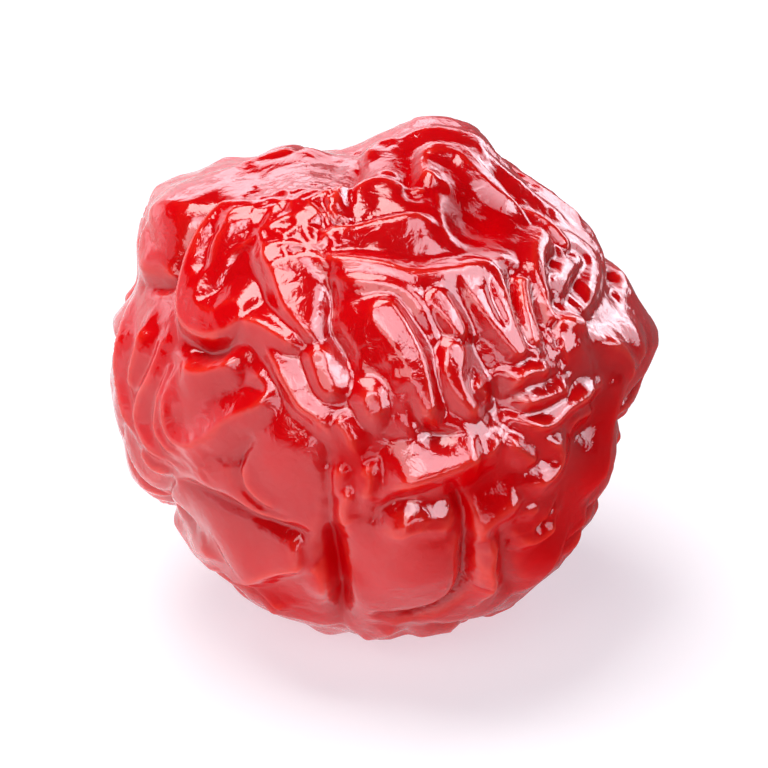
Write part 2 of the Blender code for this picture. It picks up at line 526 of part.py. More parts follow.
def fine_ball():
    """A fine ball of triangles with every corner moved out to the skin."""
    ball = bmesh.new()
    bmesh.ops.create_icosphere(ball, subdivisions=SPHERE_LEVELS, radius=1.0)
    points = fruit_points(unit(np.array([corner.co[:] for corner in ball.verts])))
    for corner, point in zip(ball.verts, points * MM):
        corner.co = point
    mesh = bpy.data.meshes.new("fine_ball")
    ball.to_mesh(mesh)
    ball.free()
    return mesh


def thinned(mesh):
    """The same surface in fewer triangles, large where the skin is plain and small on the folds."""
    ball = bpy.data.objects.new("fine_ball", mesh)
    bpy.context.scene.collection.objects.link(ball)
    ball.modifiers.new("Decimate", "DECIMATE").ratio = TRIANGLES / len(mesh.polygons)
    seen = ball.evaluated_get(bpy.context.evaluated_depsgraph_get())
    thin = bpy.data.meshes.new_from_object(seen)
    bpy.data.objects.remove(ball, do_unlink=True)
    bpy.data.meshes.remove(mesh)
    return thin


def pressed_flat(mesh):
    """Cut the underside off at height 0, close it with one flat face, and centre the box."""
    skin = bmesh.new()
    skin.from_mesh(mesh)
    for corner in skin.verts:
        if abs(corner.co.z) < FOOT_SNAP * MM:
            corner.co.z = 0.0
    bmesh.ops.bisect_plane(skin, geom=skin.verts[:] + skin.edges[:] + skin.faces[:],
                           dist=CUT_CLOSENESS, plane_co=(0, 0, 0), plane_no=(0, 0, 1),
                           clear_inner=True)
    rim = [edge for edge in skin.edges if edge.is_boundary]
    bmesh.ops.contextual_create(skin, geom=rim)
    bmesh.ops.recalc_face_normals(skin, faces=skin.faces[:])
    places = np.array([corner.co[:] for corner in skin.verts])
    middle = (places.min(axis=0) + places.max(axis=0)) / 2.0
    bmesh.ops.translate(skin, verts=skin.verts[:], vec=(-middle[0], -middle[1], 0.0))
    skin.to_mesh(mesh)
    skin.free()
    mesh.name = NAME
    return mesh


def skin_material():
    """Glossy, slightly see-through candied skin of a deep clear red."""
    material = bpy.data.materials.new("cherry_skin")
    material.use_nodes = True
    shader = material.node_tree.nodes["Principled BSDF"]
    shader.inputs["Base Color"].default_value = SKIN_COLOUR
    shader.inputs["Roughness"].default_value = SKIN_ROUGHNESS
    shader.inputs["Metallic"].default_value = 0.0
    shader.inputs["Subsurface Weight"].default_value = SKIN_SCATTER
    shader.inputs["Subsurface Scale"].default_value = SKIN_SCATTER_DEPTH * MM
    return material


def make_cherry():
    """Put the cherry in the scene, lying on height 0 over the origin."""
    cherry = bpy.data.objects.new(NAME, pressed_flat(thinned(fine_ball())))
    bpy.context.scene.collection.objects.link(cherry)
    cherry.data.materials.append(skin_material())
    cherry.data.shade_smooth()
    return cherry


for old in list(bpy.data.objects):
    bpy.data.objects.remove(old, do_unlink=True)
make_cherry()
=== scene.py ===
import bpy
import numpy as np
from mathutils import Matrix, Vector


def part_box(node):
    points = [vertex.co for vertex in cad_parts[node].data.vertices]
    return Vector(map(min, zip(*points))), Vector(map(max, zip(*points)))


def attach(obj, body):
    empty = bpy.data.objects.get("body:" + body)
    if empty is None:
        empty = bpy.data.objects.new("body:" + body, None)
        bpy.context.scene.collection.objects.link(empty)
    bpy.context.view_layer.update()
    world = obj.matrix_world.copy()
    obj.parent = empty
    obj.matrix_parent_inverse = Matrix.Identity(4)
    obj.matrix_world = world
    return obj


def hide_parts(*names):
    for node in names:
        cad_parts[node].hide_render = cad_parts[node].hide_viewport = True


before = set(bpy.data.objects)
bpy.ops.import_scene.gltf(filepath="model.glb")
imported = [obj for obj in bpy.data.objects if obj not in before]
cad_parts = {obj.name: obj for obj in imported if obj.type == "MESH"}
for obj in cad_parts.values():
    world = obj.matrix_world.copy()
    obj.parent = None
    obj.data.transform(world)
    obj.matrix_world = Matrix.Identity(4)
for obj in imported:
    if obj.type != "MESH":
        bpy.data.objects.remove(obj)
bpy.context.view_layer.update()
millimetre = 0.001
print("frame loaded with", len(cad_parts), "node")

# The fruit's body, in millimetres. The drawing plane faces the front, turned up by viewRise.
body = {
    "viewRise": 28.0,
    "radius": 10.6,
    "floorDrop": 9.75,         # from the fruit's middle down to the floor
    "skinSink": 0.35,          # the skin between folds lies this far inside the round body
    "rimSink": 0.26,           # and this far along the drawn outline
    "outlineBand": 0.5,        # how far round the body the drawn outline is felt
    "outline": [               # radius every 10 degrees from the right, anticlockwise
        10.80, 11.50, 11.10, 10.80, 10.60, 10.40, 10.55, 11.10, 10.95, 10.20, 9.65, 10.35,
        10.70, 11.50, 12.10, 11.40, 11.00, 11.25, 11.05, 10.85, 10.75, 10.10, 10.20, 10.35,
        10.45, 10.45, 10.50, 10.50, 10.50, 10.55, 10.55, 10.50, 10.45, 10.35, 10.20, 10.20],
    "widestSlant": 0.985,      # drawn points further out than this share are taken as this far out
    "slantRounds": 6,
    "runSteps": 6,             # straight pieces between two drawn points
    "gridSteps": 128,          # squares along each edge of the six grids
    "mergeDigits": 6,          # corners that agree to this many digits are one
    "swellHeight": 0.35, "swellWaves": 2.2, "swellSeed": 5,     # broad unevenness of the whole fruit
}

foldLook = {
    "lift": 1.2,               # drawn heights times this
    "spread": 3.3,             # flanks reach this many drawn widths
    "leastReach": 0.55,
    "fall": 1.5,               # flank height is (1 - distance / reach) to this power
    "creaseFall": 1.3,
    "blend": 4.0,              # power of the mean that joins folds where they meet
    "crestRound": 0.07,
    "endHeight": 0.35,         # share of a fold's height left at its ends
    "endShare": 0.25,          # share of a run over which it rises at each end
    "endReach": 0.6,           # share of its reach that a fold keeps where it has no height
    "creaseFelt": 4.5,         # a crease is felt as far as this many widths
    "rimCalm": 0.45,           # share of the relief lost along the outline
    "rimBand": 0.26,
    "calmStart": -0.965, "calmSpan": 0.08,      # the relief dies away over the foot
    "drift": 0.008, "driftWaves": 9.0, "driftSeed": 11,         # how far drawn runs wander
    "crestRounds": 6,          # rounds of smoothing that crests are measured against
    "crestFull": 0.12,         # height over the smoothed skin that counts as a full crest
    "creaseCalm": 0.5,         # creases lose this share of what the relief loses along the outline
    "leastDistance": 1e-7,
}

# folds and creases scattered over the back and sides: how many, most tries, how near to the front they
# start (1 is the very front) and reach, height or depth, reach to each side, half width of the top, length,
# spacing
backLook = {"count": 80, "tries": 6000, "seed": 4, "startFacing": 0.12, "endFacing": 0.25,
            "height": (0.28, 0.62), "reach": (0.8, 2.4), "top": (-0.3, 0.45),
            "length": (2.5, 8.0), "spacing": 2.0}
sideLook = {"count": 30, "tries": 6000, "seed": 15, "startFacing": 0.36, "endFacing": 0.42,
            "height": (0.30, 0.55), "reach": (0.6, 1.9), "top": (-0.4, 0.30),
            "length": (2.5, 6.5), "spacing": 1.5}
creaseLook = {"count": 46, "tries": 6000, "seed": 26, "startFacing": 0.32, "endFacing": 0.40,
              "height": (0.38, 0.76), "reach": (0.20, 0.42), "top": (0.0, 0.0),
              "length": (3.5, 9.0), "spacing": 2.3}

# how a scattered run wanders: length of a step, first heading, and how it turns and bends
wanderLook = {"step": 0.9, "tiltAxis": (0.3, 0.2, 1.0),
              "turnWaves": 4.1, "turnSwing": 2.2, "turnSpread": 0.6,
              "bendStart": 0.18, "bendKept": 0.6, "bendSpread": 0.22, "leastPoints": 3}

# random fields: how many sines each has, and how their waves per radius are spread
fieldLook = {"sines": 16, "spread": (0.6, 1.4)}

# ridges between scattered cells, with the share of their height left on the drawn side
crumples = [
    {"cells": 210, "seed": 8, "height": 0.20, "width": 0.75, "onFront": 0.15,
     "bend": 0.035, "bendWaves": 5.0},
    {"cells": 1100, "seed": 9, "height": 0.06, "width": 0.25, "onFront": 0.30,
     "bend": 0.020, "bendWaves": 14.0},
]
# the cells' uneven spacing, the next seed used, ways worked out at a time, and where the ridges fade:
# towards the drawn side, which starts at frontStart, and in a band near the outline
crumpleLook = {"scatter": 0.9, "seedStep": 6, "batch": 20000, "frontStart": -0.1, "frontSpan": 0.5,
               "rimCalm": 0.45, "rimFacing": 0.1, "rimBand": 0.34}

# each fold: height, width on the left of its run, width on the right, run of (x, y) on the drawing
drawnFolds = {
    "leftShoulder": [
        (0.30, 0.70, 0.50, [(-9.7, 6.8), (-8.6, 7.3), (-7.2, 7.3)]),
        (0.35, 0.40, 0.50, [(-9.7, 6.9), (-9.9, 5.8), (-9.7, 4.8), (-9.1, 4.3)]),
        (0.46, 0.70, 0.26, [(-4.9, 6.1), (-4.7, 5.2), (-4.2, 4.1), (-3.7, 3.0), (-2.9, 2.1), (-2.4, 1.5)]),
        (0.50, 0.30, 0.35, [(-6.1, 2.6), (-4.9, 2.4), (-3.9, 1.9), (-3.0, 1.4)]),
    ],
    "crown": [
        (0.55, 0.32, 0.60, [(-3.1, 5.1), (-1.6, 5.0), (0.0, 4.8), (1.5, 4.4), (3.0, 4.5),
                            (4.2, 4.8), (5.2, 5.4)]),
        (0.32, 0.30, 0.30, [(2.2, 10.3), (1.9, 9.7), (2.1, 9.1), (2.8, 8.8)]),
        (0.18, 0.40, 0.40, [(2.4, 8.6), (2.7, 7.8), (2.8, 6.8), (3.1, 5.6)]),
        (0.30, 0.30, 0.30, [(-0.9, 9.5), (-0.2, 10.0), (0.8, 10.3)]),
        (0.22, 0.25, 0.25, [(4.0, 10.3), (5.0, 9.3), (6.0, 8.7), (7.5, 7.8), (8.5, 6.7)]),
    ],
    "rightShoulder": [
        (0.50, 0.30, 0.30, [(9.3, 1.7), (10.1, 1.2), (10.3, 0.4), (10.1, -0.3)]),
    ],
    "fan": [
        (0.25, 0.20, 0.20, [(5.7, 1.3), (6.4, 1.3), (6.5, 0.8)]),
    ],
    "middle": [
        (0.45, 0.30, 0.40, [(-2.3, 4.4), (-1.0, 4.2), (0.4, 4.0), (1.2, 3.6), (1.8, 2.9), (2.3, 1.9)]),
        (0.70, 0.55, 0.40, [(0.2, -4.3), (1.3, -3.9), (2.5, -3.5), (3.6, -3.0), (4.3, -2.8)]),
        (0.42, 0.40, 0.16, [(-5.0, 2.0), (-4.2, 0.9), (-3.7, 0.0), (-3.2, -0.8), (-2.7, -1.2), (-2.2, -1.7),
                            (-1.9, -2.4)]),
        (0.38, 0.30, 0.16, [(-1.9, -1.2), (-1.6, -1.7), (-1.3, -2.1), (-0.9, -3.0)]),
        (0.45, 0.25, 0.25, [(-0.7, -3.3), (-0.4, -3.9), (-0.7, -4.9)]),
        (0.45, 0.25, 0.25, [(-1.1, -4.1), (-1.5, -5.1), (-1.3, -6.0)]),
        (0.32, 0.20, 0.20, [(0.1, 1.3), (0.6, 0.3), (1.1, -0.7)]),
    ],
    "leftPouch": [
        (0.45, 0.25, 0.30, [(-4.9, 0.3), (-4.5, -0.3), (-4.9, -0.9), (-6.0, -1.5), (-6.8, -2.2),
                            (-7.6, -2.5), (-8.3, -2.2), (-8.6, -1.4), (-8.6, -0.4), (-8.3, 0.5)]),
        (0.25, 0.20, 0.20, [(-4.9, -1.2), (-6.2, -1.9), (-7.2, -2.8)]),
        (0.42, 0.30, 0.35, [(-8.2, 1.0), (-7.6, 0.4), (-6.6, 0.5), (-5.7, 1.1)]),
    ],
    "leftEdge": [
        (0.50, 0.30, 0.30, [(-10.4, 3.1), (-10.6, 1.5), (-10.6, 0.3), (-10.3, -1.2), (-9.9, -2.4)]),
        (0.45, 0.28, 0.28, [(-9.5, 2.6), (-9.7, 1.5), (-10.0, 0.4), (-10.1, -0.5)]),
        (0.42, 0.28, 0.28, [(-9.0, 1.6), (-9.3, 0.2), (-9.7, -0.6), (-9.8, -1.6),
                            (-9.3, -2.6), (-8.6, -3.2)]),
        (0.40, 0.25, 0.25, [(-8.7, 0.5), (-8.9, -0.8), (-9.0, -1.8), (-8.5, -2.6), (-7.8, -2.9)]),
        (0.35, 0.25, 0.25, [(-9.8, -2.6), (-9.3, -3.4), (-8.7, -3.9)]),
    ],
    "lowerLeft": [
        (0.30, 0.25, 0.50, [(-5.7, -3.0), (-5.6, -4.0), (-5.0, -4.8), (-4.2, -5.4)]),
        (0.35, 0.30, 0.30, [(-1.8, -3.2), (-1.8, -4.9)]),
        (0.55, 0.60, 0.30, [(-6.0, -8.3), (-4.8, -7.7), (-3.6, -7.4), (-2.8, -7.4)]),
        (0.35, 0.30, 0.30, [(-2.9, -7.4), (-2.4, -8.0), (-2.2, -9.2)]),
    ],
    "lowerRight": [
        (0.50, 0.45, 0.45, [(3.4, -6.1), (4.0, -5.6), (4.9, -4.9), (5.9, -4.4)]),
        (0.50, 0.25, 0.25, [(4.3, -6.0), (4.5, -6.6), (4.3, -7.2), (4.4, -8.0), (3.9, -9.0)]),
        (0.40, 0.25, 0.25, [(5.5, -6.0), (6.1, -6.2), (6.7, -5.9), (7.1, -5.4)]),
        (0.25, 0.20, 0.20, [(5.4, -5.2), (5.9, -5.0), (6.4, -5.0)]),
    ],
    "pucker": [
        (0.28, 0.20, 0.20, [(4.7, -0.8), (4.2, -0.3), (3.8, 0.0)]),
        (0.42, 0.25, 0.25, [(5.3, -0.4), (5.8, 0.3), (6.4, 0.5), (7.1, 0.5)]),
        (0.40, 0.30, 0.25, [(5.4, -0.8), (6.2, -0.7), (7.2, -0.4), (7.8, -0.2)]),
        (0.55, 0.25, 0.28, [(5.4, -1.4), (6.2, -1.7), (6.8, -1.6), (7.5, -1.0), (8.3, -0.6), (9.3, -0.1)]),
        (0.30, 0.20, 0.20, [(4.9, -2.0), (4.5, -2.7), (4.0, -3.0)]),
        (0.40, 0.25, 0.25, [(5.0, -2.1), (5.7, -2.8), (6.3, -3.2)]),
        (0.55, 0.35, 0.35, [(6.0, -2.0), (6.9, -2.5), (7.0, -3.2), (6.5, -3.8), (5.5, -4.1)]),
        (0.30, 0.25, 0.25, [(7.6, -1.6), (8.3, -1.5), (8.9, -1.2)]),
    ],
}

# each flat-topped fold: height, reach on the left, reach on the right, half width of its top at the start
# and at the end, run
drawnPlateaus = [
    (0.55, 1.30, 0.50, 0.50, 0.50, [(-6.3, 6.9), (-7.2, 5.9), (-7.6, 4.6), (-7.8, 3.4),
                                    (-7.6, 2.7), (-6.8, 2.4), (-6.0, 2.8)]),
    (0.38, 0.50, 0.80, 0.30, 0.35, [(2.3, 10.0), (3.3, 9.9), (4.1, 9.3), (5.1, 8.4), (6.2, 7.6), (7.1, 6.9),
                                    (7.8, 6.1)]),
    (0.42, 0.60, 2.20, 0.10, 0.10, [(-1.2, 8.2), (0.0, 8.6), (1.3, 8.5)]),
    (0.40, 0.40, 2.20, 0.10, 0.10, [(-1.8, 6.2), (-0.6, 6.5), (0.5, 6.8), (1.6, 7.0)]),
    (0.16, 0.30, 0.30, 0.05, 0.05, [(-5.3, 5.9), (-6.1, 5.5), (-6.6, 4.8), (-6.8, 4.2)]),
    (0.24, 0.50, 0.60, 0.28, 0.20, [(7.5, 6.5), (8.4, 6.0), (9.1, 5.2), (9.2, 4.2), (8.7, 3.2)]),
    (0.40, 0.80, 0.60, 0.25, 0.10, [(7.1, 6.6), (6.7, 5.6), (6.7, 4.4), (7.0, 3.4), (7.6, 2.6), (8.3, 2.4)]),
    (0.20, 0.50, 0.50, 0.30, 0.15, [(7.5, 4.1), (8.0, 4.8), (8.5, 5.4)]),
    (0.35, 1.00, 0.60, 0.15, 0.15, [(0.7, -5.8), (1.5, -5.5), (2.4, -5.5)]),
    (0.60, 0.70, 1.80, 0.50, 0.24, [(0.1, 2.8), (0.7, 2.0), (1.3, 0.9), (1.65, -0.1), (1.9, -1.0)]),
    (0.50, 0.60, 0.60, 0.38, 0.20, [(2.4, 3.3), (2.9, 2.7), (3.3, 2.1)]),
    (0.45, 0.60, 0.60, 0.35, 0.12, [(3.1, 1.2), (3.0, 0.4), (3.3, -0.4), (3.8, -1.0)]),
    (0.45, 0.40, 0.60, 0.95, 0.22, [(4.3, 4.2), (4.8, 3.2), (5.3, 2.2), (5.7, 1.4)]),
    (0.40, 0.40, 0.40, 0.26, 0.16, [(6.1, 4.1), (6.2, 2.9), (6.4, 1.8)]),
    (0.40, 0.80, 0.70, 0.25, 0.20, [(-2.5, 1.1), (-2.3, 0.3), (-2.1, -0.2)]),
    (0.45, 0.80, 0.80, 0.32, 0.30, [(-0.3, -0.7), (-0.2, -1.1)]),
]

# each crease: depth, width on the left, width on the right, run
drawnCreases = [
    (0.70, 0.30, 0.35, [(-6.8, 7.4), (-7.9, 6.1), (-8.5, 4.9), (-8.9, 4.2), (-9.8, 4.0)]),
    (0.40, 0.30, 0.30, [(-6.5, 6.7), (-7.1, 5.6), (-7.3, 4.3)]),
    (0.50, 0.25, 0.30, [(-2.2, 4.4), (-2.1, 3.2), (-2.1, 2.2), (-1.5, 1.2), (-1.2, 0.4)]),
    (0.45, 0.45, 0.45, [(1.4, 10.4), (1.4, 9.2), (1.4, 8.3), (2.2, 8.2)]),
    (0.35, 0.50, 0.50, [(3.9, 2.0), (4.3, 1.1), (4.8, 0.2)]),
    (0.35, 0.25, 0.25, [(-1.0, 9.8), (-1.0, 9.0), (-1.2, 8.0), (-1.1, 7.2)]),
    (0.16, 0.13, 0.13, [(4.5, 4.1), (4.7, 3.3), (5.2, 2.2)]),
    (0.30, 0.18, 0.18, [(5.6, 4.6), (5.7, 3.4), (5.9, 2.2)]),
    (0.35, 0.20, 0.20, [(6.4, 4.3), (6.6, 3.2), (7.0, 2.0)]),
    (0.40, 0.20, 0.30, [(1.3, -0.6), (1.6, -1.5), (2.3, -2.2), (3.4, -2.1)]),
    (0.50, 0.30, 0.30, [(-2.1, -2.4), (-2.1, -4.2), (-2.0, -5.4), (-2.1, -6.4)]),
    (1.00, 0.48, 0.48, [(-2.1, -5.6), (-2.0, -6.8), (-1.8, -8.0), (-1.7, -9.2), (-1.7, -10.6)]),
    (0.48, 0.30, 0.38, [(-8.8, -3.9), (-7.2, -4.7), (-5.6, -5.5), (-4.0, -6.1), (-2.6, -6.4)]),
    (0.48, 0.22, 0.30, [(-5.3, -2.3), (-5.8, -3.2), (-5.7, -4.2), (-5.0, -5.0), (-4.0, -5.5)]),
    (0.80, 0.20, 0.35, [(2.9, -4.1), (3.4, -5.2), (3.5, -7.2), (3.4, -8.4),
                        (2.6, -9.2), (1.4, -9.6), (0.0, -9.7)]),
    (0.50, 0.35, 0.45, [(4.8, -5.7), (5.1, -6.9), (5.3, -8.2), (5.6, -9.0)]),
    (0.45, 0.30, 0.30, [(-8.6, -3.6), (-8.9, -4.6), (-9.3, -5.2)]),
    (0.35, 0.25, 0.25, [(-8.0, 1.5), (-7.1, 1.1), (-6.1, 1.5)]),
    (0.35, 0.30, 0.30, [(-0.3, -6.0), (0.0, -5.4), (0.8, -4.8), (2.2, -4.2)]),
]

# each swell, or hollow below zero: height, half width, half length, turn in degrees, middle (x, y)
drawnSwells = [
    (-0.12, 1.00, 1.20, 0, (-5.4, 3.9)), (-0.60, 1.50, 1.70, -30, (4.2, 7.2)),
    (-0.20, 0.45, 0.70, 0, (8.6, 3.9)), (-0.30, 0.40, 0.50, 0, (7.4, 3.2)),
    (-0.15, 0.40, 0.50, 0, (7.4, 5.2)), (0.35, 1.70, 1.70, 0, (-3.9, -3.0)),
    (0.55, 1.90, 2.30, 0, (1.2, -7.0)), (-0.50, 0.90, 0.90, 0, (4.9, -0.9)),
    (0.25, 0.60, 0.50, 0, (0.3, 9.1)), (-0.25, 1.10, 0.90, 0, (4.2, -4.3)),
    (0.30, 1.50, 1.30, 0, (-7.6, -1.0)), (0.40, 1.40, 1.60, 0, (-9.2, 6.0)),
    (0.35, 1.40, 1.20, 0, (-6.0, -6.9)), (0.30, 1.20, 1.20, 0, (8.6, -3.6)),
    (0.25, 1.20, 1.40, 0, (6.6, -7.4)), (-0.30, 0.80, 0.70, 0, (8.4, -1.9)),
]
swellEdge = 1.3

# knots of finer crinkles: middle (x, y), radius, share
drawnKnots = [(-4.6, 7.4, 1.8, 1.0), (-3.1, 6.5, 1.7, 1.0), (-2.0, 7.8, 1.1, 0.8), (8.0, 1.7, 1.2, 1.0),
              (-7.2, -3.6, 1.0, 0.7), (1.2, -5.2, 0.8, 0.5), (6.5, -5.4, 0.9, 0.6), (4.2, -7.5, 1.2, 0.5)]
knotCrumple = {"cells": 2400, "seed": 12, "height": 0.50, "width": 0.22, "bend": 0.03, "bendWaves": 12.0}
knotFelt = 0.01                # a knot is left out where its share is less than this

# smooth places, where the skin is taut: middle (x, y), radius
tautSpots = [(-6.0, 8.3, 3.6), (-9.3, 5.8, 2.6), (-3.9, -3.0, 2.2), (-6.2, -6.6, 2.6), (1.2, -6.9, 2.6),
             (-5.4, 3.9, 1.3), (4.0, 7.3, 1.8), (-6.8, 0.0, 1.4), (6.6, -6.6, 2.2)]

# syrup glaze: thinner on the dry patches, middle (x, y) and radius, and in random clouds
glazeLook = {"waves": 4.0, "seed": 21, "cloudStart": 0.9, "cloudSpan": 1.2,
             "dryPatches": [(7.2, -6.3, 3.0), (8.8, -3.6, 1.8), (9.3, -1.8, 1.6), (4.0, -4.3, 1.3),
                            (-4.5, -8.9, 2.2), (-1.8, -7.9, 1.2), (-0.9, -3.2, 1.2)]}

rise = np.radians(body["viewRise"])
rightWay = np.array([1.0, 0.0, 0.0])
towardWay = np.array([0.0, -np.cos(rise), np.sin(rise)])
upWay = np.array([0.0, np.sin(rise), np.cos(rise)])


# each row divided by its length
def unit(rows):
    return rows / np.linalg.norm(rows, axis=-1, keepdims=True)


# 3x^2 - 2x^3 between 0 and 1, flat outside
def ease(x):
    x = np.clip(x, 0.0, 1.0)
    return x * x * (3.0 - 2.0 * x)


# smooth random field: sum of sines of (direction . place + start), with seeded directions and starts, over
# the root of their count
def sineField(ways, perRadius, seed):
    rng = np.random.default_rng(seed)
    count = fieldLook["sines"]
    along = unit(rng.normal(size=(count, 3))) * perRadius * rng.uniform(*fieldLook["spread"], (count, 1))
    start = rng.uniform(0.0, 2.0 * np.pi, count)
    return np.sin(ways @ along.T + start).sum(axis=1) / np.sqrt(count)


# each way plus amount times three sine fields
def wander(ways, amount, perRadius, seed):
    return ways + amount * np.stack([sineField(ways, perRadius, seed + k) for k in range(3)], axis=-1)


# cubic that passes b at f = 0 and c at f = 1, with the slopes of (c - a) / 2 and (d - b) / 2
def curveThrough(a, b, c, d, f):
    return 0.5 * (2 * b + (c - a) * f + (2 * a - 5 * b + 4 * c - d) * f ** 2
                  + (3 * b - a - 3 * c + d) * f ** 3)


# closed smooth curve through the outline radii, read at an angle
def outlineRadius(angle):
    radii = np.array(body["outline"])
    place = angle / (2.0 * np.pi) % 1.0 * len(radii)
    first = np.floor(place).astype(int)
    a, b, c, d = (radii[(first + k) % len(radii)] for k in (-1, 0, 1, 2))
    return curveThrough(a, b, c, d, place - first)


# round radius, moved to the outline radius by exp(-(facing / band)^2)
def bodyRadius(angle, facing):
    near = np.exp(-(facing / body["outlineBand"]) ** 2)
    return body["radius"] + (outlineRadius(angle) - body["radius"]) * near


# way from the middle to a drawn point: its tilt is arcsin(reach / body radius), found in a few rounds
def fromDrawing(points):
    points = np.asarray(points, dtype=float)
    reach = np.hypot(points[:, 0], points[:, 1])
    angle = np.arctan2(points[:, 1], points[:, 0])
    tilt = np.arcsin(np.clip(reach / body["radius"], 0.0, body["widestSlant"]))
    for _ in range(body["slantRounds"]):
        tilt = np.arcsin(np.clip(reach / bodyRadius(angle, np.cos(tilt)), 0.0, body["widestSlant"]))
    return (np.outer(np.sin(tilt) * np.cos(angle), rightWay) + np.outer(np.sin(tilt) * np.sin(angle), upWay)
            + np.outer(np.cos(tilt), towardWay))


# the drawn ways joined by a smooth cubic curve, in short straight pieces
def smoothRun(ways):
    steps = body["runSteps"]
    if len(ways) == 2:
        f = np.linspace(0.0, 1.0, 2 * steps)[:, None]
        return unit(ways[0] * (1.0 - f) + ways[1] * f)
    padded = np.vstack([2 * ways[0] - ways[1], ways, 2 * ways[-1] - ways[-2]])
    f = (np.arange(steps) / steps)[None, :, None]
    a, b, c, d = (padded[k:len(padded) - 3 + k, None, :] for k in range(4))
    return unit(np.vstack([curveThrough(a, b, c, d, f).reshape(-1, 3), ways[-1:]]))


# for each way near a run: distance to it in mm, 1 on its left and 0 on its right, and share along it
def placeOnRun(ways, run):
    starts, pieces = run[:-1], np.diff(run, axis=0)
    along = ((ways[:, None] - starts) * pieces).sum(-1) / (pieces * pieces).sum(-1)
    along = np.clip(along, 0.0, 1.0)
    offsets = ways[:, None] - starts - along[..., None] * pieces
    lengths = np.linalg.norm(offsets, axis=-1)
    closest = lengths.argmin(axis=1)
    rows = np.arange(len(ways))
    distance = lengths[rows, closest]
    leftWay = unit(np.cross(starts[closest], pieces[closest]))
    leftShare = (offsets[rows, closest] * leftWay).sum(-1) / np.maximum(distance, foldLook["leastDistance"])
    share = (closest + along[rows, closest]) / len(pieces)
    return distance * body["radius"], ease(0.5 + 0.5 * leftShare), share


# ways within reach of a run, as indices
def nearRun(ways, run, reach):
    middle = unit(run.mean(axis=0))
    limit = np.linalg.norm(run - middle, axis=1).max() + reach / body["radius"]
    return np.flatnonzero(np.linalg.norm(ways - middle, axis=1) < limit)


# height left along a run: endHeight at both ends, 1 between, with an ease over endShare at each end
def tapered(share):
    rising = ease(share / foldLook["endShare"]) * ease((1.0 - share) / foldLook["endShare"])
    return foldLook["endHeight"] + (1.0 - foldLook["endHeight"]) * rising


# folds: height * taper * (1 - (distance - top) / reach)^fall on each, joined by a power mean
def foldHeight(ways, folds):
    total = np.zeros(len(ways))
    for height, left, right, topStart, topEnd, run in folds:
        near = nearRun(ways, run, max(left, right) + max(topStart, topEnd))
        distance, leftShare, share = placeOnRun(ways[near], run)
        taper = 1.0 if topStart > 0.0 else tapered(share)
        distance = np.maximum(distance - topStart - (topEnd - topStart) * share, 0.0)
        rounded = np.hypot(distance, foldLook["crestRound"]) - foldLook["crestRound"]
        kept = foldLook["endReach"] + (1.0 - foldLook["endReach"]) * taper
        reach = (right + (left - right) * leftShare) * kept
        across = np.clip(1.0 - rounded / reach, 0.0, 1.0) ** foldLook["fall"]
        total[near] += (height * taper * across) ** foldLook["blend"]
    return total ** (1.0 / foldLook["blend"])


# creases: depth * taper * exp(-(distance / width)^creaseFall) on each, joined by a power mean
def creaseDepth(ways, creases):
    total = np.zeros(len(ways))
    for depth, left, right, run in creases:
        near = nearRun(ways, run, foldLook["creaseFelt"] * max(left, right))
        distance, leftShare, share = placeOnRun(ways[near], run)
        rounded = np.hypot(distance, foldLook["crestRound"]) - foldLook["crestRound"]
        width = right + (left - right) * leftShare
        across = np.exp(-(rounded / width) ** foldLook["creaseFall"])
        total[near] += (depth * tapered(share) * across) ** foldLook["blend"]
    return total ** (1.0 / foldLook["blend"])


# swells: height * exp(-((x / half width)^2 + (y / half length)^2)^edge), summed
def swellHeight(ways):
    total = np.zeros(len(ways))
    for height, halfWidth, halfLength, turn, place in drawnSwells:
        middle = fromDrawing([place])[0]
        level = unit(rightWay - (rightWay @ middle) * middle)
        steep = np.cross(middle, level)
        turn = np.radians(turn)
        x = (ways - middle) @ (level * np.cos(turn) + steep * np.sin(turn)) * body["radius"]
        y = (ways - middle) @ (steep * np.cos(turn) - level * np.sin(turn)) * body["radius"]
        oval = (x / halfWidth) ** 2 + (y / halfLength) ** 2
        total += height * np.exp(-oval ** swellEdge) * (ways @ middle > 0.0)
    return total


# knots: fine crumple * the sum of share * exp(-(distance / radius)^2)
def knotHeight(ways):
    total = np.zeros(len(ways))
    for x, y, radius, share in drawnKnots:
        distance = np.linalg.norm(ways - fromDrawing([(x, y)])[0], axis=1) * body["radius"]
        total += share * np.exp(-(distance / radius) ** 2)
    near = np.flatnonzero(total > knotFelt)
    total[near] *= crumpleHeight(ways[near], knotCrumple)
    return total


# tautness: the greatest exp(-(distance / radius)^4) of the taut spots
def tautness(ways):
    most = np.zeros(len(ways))
    for x, y, radius in tautSpots:
        distance = np.linalg.norm(ways - fromDrawing([(x, y)])[0], axis=1) * body["radius"]
        most = np.maximum(most, np.exp(-(distance / radius) ** 4))
    return most


# glaze: 1 less the greatest of exp(-(distance / radius)^3) at the dry patches and of a sine field's peaks
def glazeShare(ways):
    clouds = sineField(ways, glazeLook["waves"], glazeLook["seed"])
    dry = ease((clouds - glazeLook["cloudStart"]) / glazeLook["cloudSpan"])
    for x, y, radius in glazeLook["dryPatches"]:
        distance = np.linalg.norm(ways - fromDrawing([(x, y)])[0], axis=1) * body["radius"]
        dry = np.maximum(dry, np.exp(-(distance / radius) ** 3))
    return 1.0 - dry


